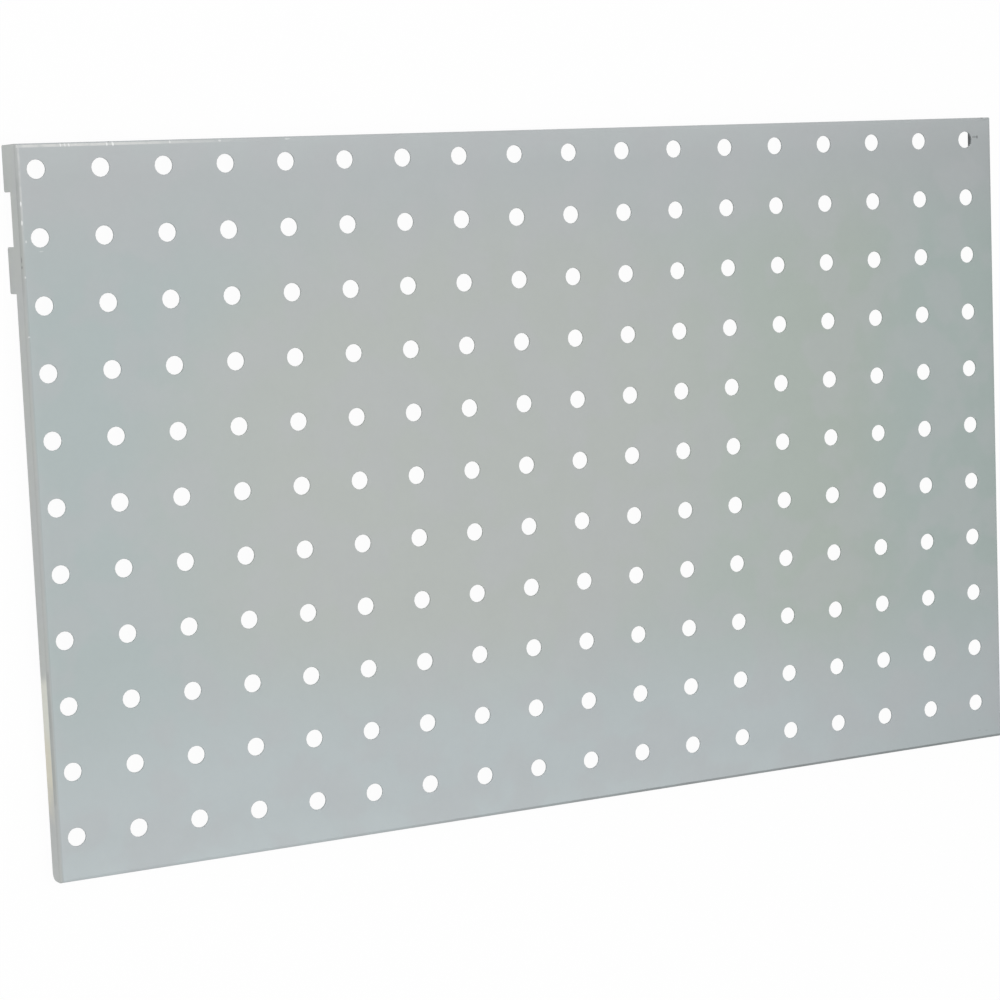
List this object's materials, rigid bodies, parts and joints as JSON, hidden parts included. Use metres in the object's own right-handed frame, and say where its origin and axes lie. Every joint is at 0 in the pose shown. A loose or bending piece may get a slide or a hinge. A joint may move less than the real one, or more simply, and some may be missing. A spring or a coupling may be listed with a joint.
{
  "type": "pegboard panel",
  "caption": "Flat steel pegboard panel with a square grid of round peg holes, edges folded back, and hanging tabs near the top of both side edges.",
  "frame": {"origin": "below the middle of the panel, level with the tips of the hanging tabs", "axes": "+X to the right across the panel as seen from its front, +Y towards its top edge, +Z out of its front face; the panel lies face up"},
  "size_m": [0.454, 0.281, 0.016],
  "materials": {
    "grey_paint": "light grey paint with a slight cool tint, low sheen, over folded sheet steel"
  },
  "bodies": {
    "root": {"pegboard_panel": "grey_paint"}
  },
  "joints": []
}
